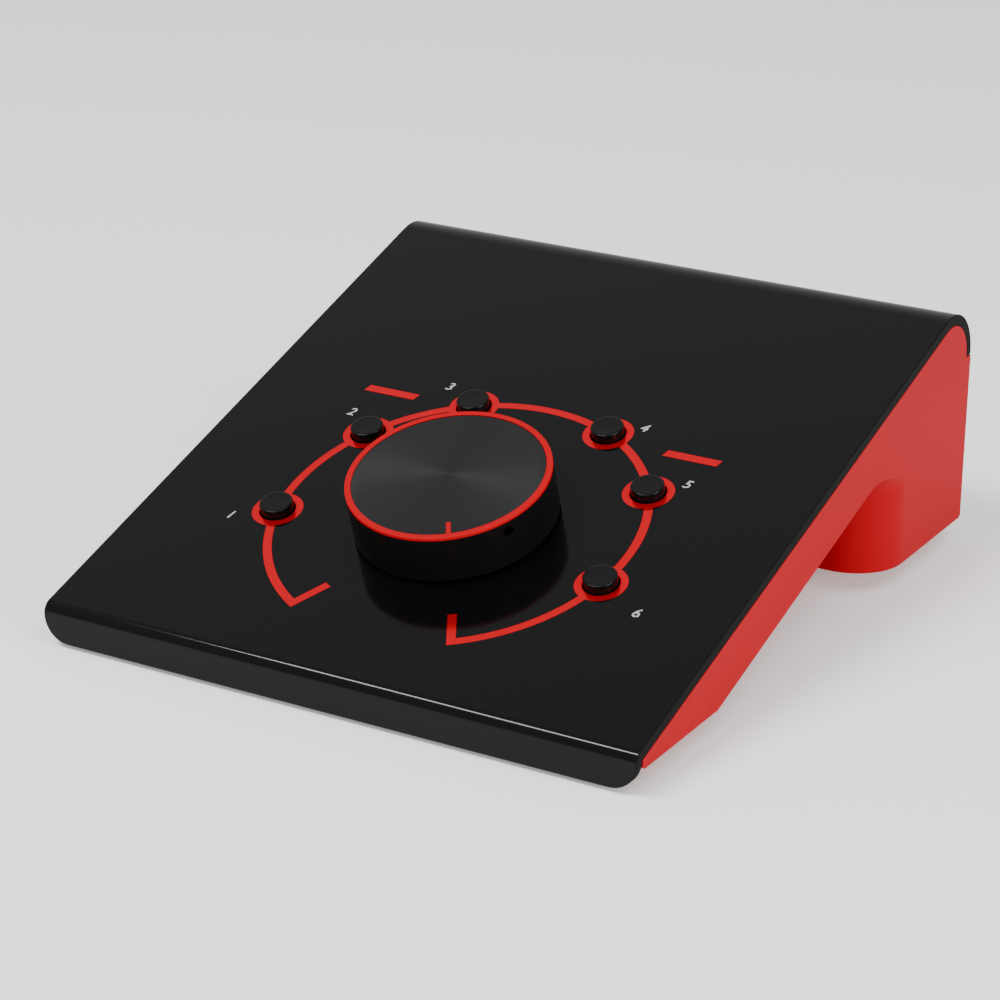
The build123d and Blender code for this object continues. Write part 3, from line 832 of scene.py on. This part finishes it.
class CONTROLLER_OT_rear(bpy.types.Operator):
    """Jack plate with its jacks, nuts, screws and plain numerals"""
    bl_idname = "controller.rear"
    bl_label = "Rear plate"

    # how far the edges of each node are eased
    eases = {
        "jack_plate": 0.25 * MM, "jack_nuts": 0.3 * MM, "jack_washers": 0.12 * MM,
        "jack_plate_screws": 0.25 * MM, **{jack: 0.25 * MM for jack in JACKS},
    }
    digit_height = 3.4 * MM
    digit_rise = 11.5 * MM       # numerals above the middle of the plate
    # radius and wire of the rings, and how deep they lie behind each jack's mouth
    threads = (4.5 * MM, 0.1 * MM, (0.25 * MM, 0.6 * MM))
    contacts = (3.12 * MM, 0.22 * MM, (4.5 * MM, 12.0 * MM, 20.0 * MM))

    def execute(self, context):
        for node, width in self.eases.items():
            piece(node + "_eased", eased_copy(node, width), "case", SLOTS[node], node)
        plate_low, plate_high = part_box("jack_plate")
        level = (plate_low.z + plate_high.z) / 2
        film = context.scene.controller_scale.ink_height
        # upright, and read from behind
        turn = Matrix.Rotation(pi, 4, "Z") @ Matrix.Rotation(pi / 2, 4, "X")
        mouths = []
        for number, jack in enumerate(JACKS, start=1):
            low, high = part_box(jack)
            mouths.append(Vector(((low.x + high.x) / 2, high.y, level)))
            stand = Matrix.Translation((mouths[-1].x, plate_high.y, level + self.digit_rise))
            mesh = numeral(number, self.digit_height, film, stand @ turn)
            piece(f"jack_number_{number}", mesh, "case", "ribbon_grey", finish="white_ink")
        self.rings("collar_threads", "jack_nylon", mouths, *self.threads)
        self.rings("jack_contacts", "nickel", mouths, *self.contacts)
        return {"FINISHED"}

    def rings(self, name, slot, mouths, radius, wire, depths):
        """Rings of wire at some depths behind the jacks' mouths."""
        mesh = grown(
            name, rings_tree(), [p - Vector((0, depth, 0)) for p in mouths for depth in depths],
            {"Radius": radius, "Wire": wire, "Tilt": pi / 2, "Material": finish_of(slot)},
        )
        piece(name, mesh, "case", slot)


class CONTROLLER_OT_underside(bpy.types.Operator):
    """Rubber feet with ridged soles, and the screws under the case"""
    bl_idname = "controller.underside"
    bl_label = "Underside"

    screw_ease = 0.2 * MM        # how far the screws' edges are eased
    screw_hole = 1.55 * MM       # radius
    bore = 3.3 * MM              # radius of the hollow for the screw's head
    seat = 3.2 * MM              # depth of that hollow
    taper = 0.8 * MM             # how much narrower the sole is than the top
    groove = 0.35 * MM           # width and depth of the grooves in the sole
    groove_starts = (0.7 * MM, 1.5 * MM)
    bore_ease, sole_ease = 0.2 * MM, 0.4 * MM
    segments = 64
    corner_steps = 3

    def execute(self, context):
        for name in sorted(n for n in NODES if n.startswith("foot_") and n != "foot_screws"):
            piece(name + "_ridged", self.foot(name), "case", "foot_rubber", name)
        for node in ("foot_screws", "cover_screws"):
            mesh = eased_copy(node, self.screw_ease)
            piece(node + "_eased", mesh, "case", "black_screw", node)
        return {"FINISHED"}

    def foot(self, node):
        """One foot: a tapered cup with two grooves in its sole and a hole for its screw."""
        low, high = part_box(node)
        radius, height = half_width(node), high.z - low.z
        profile = [
            (self.screw_hole, height, 0), (self.screw_hole, self.seat, 0),
            (self.bore, self.seat, 0), (self.bore, 0, self.bore_ease),
        ]
        for step in self.groove_starts:
            near, far = self.bore + step, self.bore + step + self.groove
            profile += [(near, 0, 0), (near, self.groove, 0), (far, self.groove, 0), (far, 0, 0)]
        profile += [
            (radius - self.taper, 0, self.sole_ease), (radius, height, 0),
            (self.screw_hole, height, 0),
        ]
        place = Matrix.Translation(((low.x + high.x) / 2, (low.y + high.y) / 2, low.z))
        return lathe("foot", rounded(profile, self.corner_steps), self.segments, place)


class CONTROLLER_OT_knob(bpy.types.Operator):
    """Knob with its spun disc, red ring and pointer"""
    bl_idname = "controller.knob"
    bl_label = "Knob"

    knob_ease = 0.25 * MM
    pointer_ease = 0.08 * MM
    ring_eases = (0.12 * MM, 0.3 * MM)   # inner and outer rim of the ring
    disc_ease = 0.1 * MM
    disc_gap = 0.02 * MM                 # between the disc and the ring
    segments = 256
    disc_rows = 12

    def execute(self, context):
        ring_low, ring_high = span(NODES["knob_ring"].data.vertices)
        disc_high = span(NODES["knob_disc"].data.vertices)[1]
        outer, inner = half_width("knob_ring"), half_width("knob_disc")
        mesh = eased_copy("knob", self.knob_ease)
        piece("knob_body", mesh, "volume_knob", "knob_black", "knob")
        ring = rounded([
            (inner, ring_low, 0), (inner, ring_high, self.ring_eases[0]),
            (outer, ring_high, self.ring_eases[1]), (outer, ring_low, 0), (inner, ring_low, 0),
        ])
        mesh = lathe("red_ring", ring, self.segments, DIAL)
        piece("red_ring", mesh, "volume_knob", "red_inlay", "knob_ring")
        steps = [inner * k / self.disc_rows for k in range(self.disc_rows)]
        edge = inner - self.disc_gap
        disc = [Vector((r, disc_high)) for r in steps]
        disc += rounded([
            (steps[-1], disc_high, 0), (edge, disc_high, self.disc_ease), (edge, ring_low, 0),
        ])[1:]
        disc.append(Vector((0, ring_low)))
        mesh = lathe("spun_disc", disc, self.segments, DIAL, spin_map=True)
        piece("spun_disc", mesh, "volume_knob", "spun_disc", "knob_disc")
        mesh = eased_copy("knob_pointer", self.pointer_ease)
        piece("pointer", mesh, "volume_knob", "red_inlay", "knob_pointer")
        return {"FINISHED"}


class CONTROLLER_OT_buttons(bpy.types.Operator):
    """Push-button caps with a soft rim and a shallow dish"""
    bl_idname = "controller.buttons"
    bl_label = "Buttons"

    dish = 0.1 * MM              # the middle lies this far under the rim
    slope = 0.06 * MM            # and the edge of the dish this far
    dish_share = 0.55            # radius of the dish, as a share of the cap's
    rim = 0.55 * MM
    rim_ease = 0.4 * MM
    dish_ease = 1.5 * MM
    segments = 96

    def execute(self, context):
        for name, spot in BUTTON_SPOTS.items():
            node = name + "_cap"
            low, high = span(NODES[node].data.vertices)
            radius = half_width(node)
            profile = rounded([
                (0, high - self.dish, 0),
                (radius * self.dish_share, high - self.slope, self.dish_ease),
                (radius - self.rim, high, self.rim_ease),
                (radius, high - self.dish, self.rim_ease),
                (radius, low, 0), (0, low, 0),
            ])
            place = DIAL @ Matrix.Translation((spot.x, spot.y, 0))
            mesh = lathe(name + "_top", profile, self.segments, place)
            piece(name + "_top", mesh, name, "button_black", node)
        return {"FINISHED"}


class CONTROLLER_OT_springs(bpy.types.Operator):
    """One spring under each button, cut from the shared springs node"""
    bl_idname = "controller.springs"
    bl_label = "Springs"

    reach = 5.0 * MM             # no two buttons are nearer than twice this

    def execute(self, context):
        for name, spot in BUTTON_SPOTS.items():
            form = joined_up("switch_springs")
            others = [
                v for v in form.verts
                if ((TO_DIAL @ v.co).xy - spot.xy).length > self.reach
            ]
            bmesh.ops.delete(form, geom=others, context="VERTS")
            mesh = mesh_of(form, name + "_spring")
            smooth(mesh)
            spring = piece(name + "_spring", mesh, "case", "steel", "switch_springs")
            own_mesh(spring)
        return {"FINISHED"}


class CONTROLLER_OT_scale(bpy.types.Operator):
    """Printed red scale and plain numerals on the control surface"""
    bl_idname = "controller.scale"
    bl_label = "Printed scale"

    # each numeral's place, as steps to the right and up the slope from its button, in millimetres
    digit_steps = ((-11, -6), (-9.5, 7), (-11, 6), (8, 5), (8, 6), (13.5, -7.5))
    digit_lean = 0.2
    # plain bars over the two groups of buttons: places in the dial's frame, in millimetres
    bar_places = {"left": (-45.4, 43.5), "right": (46.3, 41.7)}
    bar_length = 15.5 * MM
    bar_width = 2.6 * MM
    bar_lean = 0.25

    def execute(self, context):
        settings = context.scene.controller_scale
        mesh = grown(
            "printed_scale", marks_tree(), [(p.x, p.y, 0) for p in BUTTON_SPOTS.values()],
            {
                "Arc Radius": DIAL_RADIUS, "Line Width": settings.line_width,
                "Ring Outer": settings.ring_outer, "Ring Inner": settings.ring_inner,
                "Half Sweep": settings.half_sweep, "Tick": settings.tick,
                "Ink Height": settings.ink_height, "Material": finish_of("red_ink"),
            },
            DIAL,
        )
        smooth(mesh)
        piece("printed_scale", mesh, "case", "red_inlay")
        for number, (button, step) in enumerate(zip(BUTTONS, self.digit_steps), start=1):
            spot = BUTTON_SPOTS[button]
            place = Matrix.Translation((spot.x + step[0] * MM, spot.y + step[1] * MM, 0))
            mesh = numeral(
                number, settings.digit_height, settings.ink_height, DIAL @ place, self.digit_lean
            )
            piece(f"numeral_{number}", mesh, "case", "ribbon_grey", finish="white_ink")
        for side, (x, y) in self.bar_places.items():
            place = DIAL @ Matrix.Translation((x * MM, y * MM, 0))
            mesh = self.bar(f"bar_{side}", settings.ink_height, place)
            piece(f"bar_{side}", mesh, "case", "red_inlay", finish="red_ink")
        return {"FINISHED"}

    def bar(self, name, film, place):
        """A plain red bar with slanted ends over one group of buttons."""
        half, tall = self.bar_length / 2, self.bar_width / 2
        lean = self.bar_lean * tall
        corners = (
            (-half - lean, -tall), (half - lean, -tall), (half + lean, tall), (lean - half, tall),
        )
        count = len(corners)
        sides = [
            (k, (k + 1) % count, (k + 1) % count + count, k + count) for k in range(count)
        ]
        mesh = bpy.data.meshes.new(name)
        mesh.from_pydata(
            [(x, y, z) for z in (-film, film) for x, y in corners], [],
            [tuple(reversed(range(count))), tuple(range(count, 2 * count)), *sides],
        )
        mesh.transform(place)
        return mesh


class CONTROLLER_OT_stage(bpy.types.Operator):
    """Floor, soft lights and the camera"""
    bl_idname = "controller.stage"
    bl_label = "Stage"

    # name, place, aim, size in metres, power in watts
    lamps = (
        ("right", (1.6, -0.35, 0.4), (0, 0, 0.03), (1.0, 0.5), 24.0),
        ("front", (-0.4, -0.65, 1.15), (0, -0.05, 0.02), (0.85, 0.14), 18.0),
        ("over", (0.7, -0.3, 1.3), (0, 0, 0), (0.8, 0.8), 6.0),
    )
    floor_reach = 40.0           # far enough that its edge is never seen

    def execute(self, context):
        settings = context.scene.controller_stage
        self.floor()
        self.sky(context.scene, settings.sky)
        for name, place, aim, size, power in self.lamps:
            lamp = bpy.data.lights.new(name, "AREA")
            lamp.shape = "RECTANGLE"
            lamp.size, lamp.size_y = size
            lamp.energy = power
            holder = placed(name, lamp)
            holder.location = place
            aim_line = Vector(aim) - Vector(place)
            holder.rotation_euler = aim_line.to_track_quat("-Z", "Y").to_euler()
        self.camera(context.scene, settings)
        return {"FINISHED"}

    def floor(self):
        """A wide pale floor."""
        far = self.floor_reach
        mesh = bpy.data.meshes.new("floor")
        mesh.from_pydata(
            [(-far, -far, 0), (far, -far, 0), (far, far, 0), (-far, far, 0)], [], [(0, 1, 2, 3)]
        )
        material, _, _ = new_surface(
            "pale_floor", Base_Color=(0.9, 0.9, 0.9, 1), Roughness=0.9, Specular_IOR_Level=0.1,
            Emission_Color=(1, 1, 1, 1), Emission_Strength=0.25,
        )
        mesh.materials.append(material)
        placed("floor", mesh)

    def sky(self, scene, strength):
        """Even pale surroundings."""
        world = bpy.data.worlds.new("sky")
        scene.world = world
        world.use_nodes = True
        light = world.node_tree.nodes["Background"]
        light.inputs["Color"].default_value = (0.97, 0.97, 0.975, 1)
        light.inputs["Strength"].default_value = strength

    def camera(self, scene, settings):
        """The camera, from its angles and the point that it looks at."""
        lens = bpy.data.cameras.new("view")
        lens.lens = settings.lens
        lens.sensor_width = 36.0
        lens.clip_start = 0.01
        holder = placed("view", lens)
        away = Vector((
            sin(settings.azimuth) * cos(settings.elevation),
            -cos(settings.azimuth) * cos(settings.elevation),
            sin(settings.elevation),
        ))
        turn = away.to_track_quat("Z", "Y").to_matrix() @ Matrix.Rotation(settings.roll, 3, "Z")
        holder.matrix_world = Matrix.Translation(
            Vector(settings.target) + away * settings.distance
        ) @ turn.to_4x4()
        scene.camera = holder


class CONTROLLER_PT_panel(bpy.types.Panel):
    """Everything that builds the controller's looks"""
    bl_idname = "CONTROLLER_PT_panel"
    bl_label = "Controller"
    bl_space_type = "VIEW_3D"
    bl_region_type = "UI"
    bl_category = "Controller"

    def draw(self, context):
        for group in SETTINGS:
            settings = getattr(context.scene, group)
            box = self.layout.box()
            for name in settings.__annotations__:
                box.prop(settings, name)
        for operator in OPERATORS:
            self.layout.operator(operator.bl_idname)


OPERATORS = (
    CONTROLLER_OT_hardware, CONTROLLER_OT_case, CONTROLLER_OT_rear, CONTROLLER_OT_underside,
    CONTROLLER_OT_knob, CONTROLLER_OT_buttons, CONTROLLER_OT_springs, CONTROLLER_OT_scale,
    CONTROLLER_OT_stage,
)
CLASSES = (FinishSettings, ScaleSettings, StageSettings, *OPERATORS, CONTROLLER_PT_panel)
SETTINGS = {
    "controller_finish": FinishSettings, "controller_scale": ScaleSettings,
    "controller_stage": StageSettings,
}


def register():
    for item in CLASSES:
        bpy.utils.register_class(item)
    for name, group in SETTINGS.items():
        setattr(bpy.types.Scene, name, PointerProperty(type=group))


def unregister():
    for name in SETTINGS:
        delattr(bpy.types.Scene, name)
    for item in reversed(CLASSES):
        bpy.utils.unregister_class(item)


def main():
    register()
    for operator in OPERATORS:
        group, name = operator.bl_idname.split(".")
        getattr(getattr(bpy.ops, group), name)()


if __name__ == "__main__":
    main()
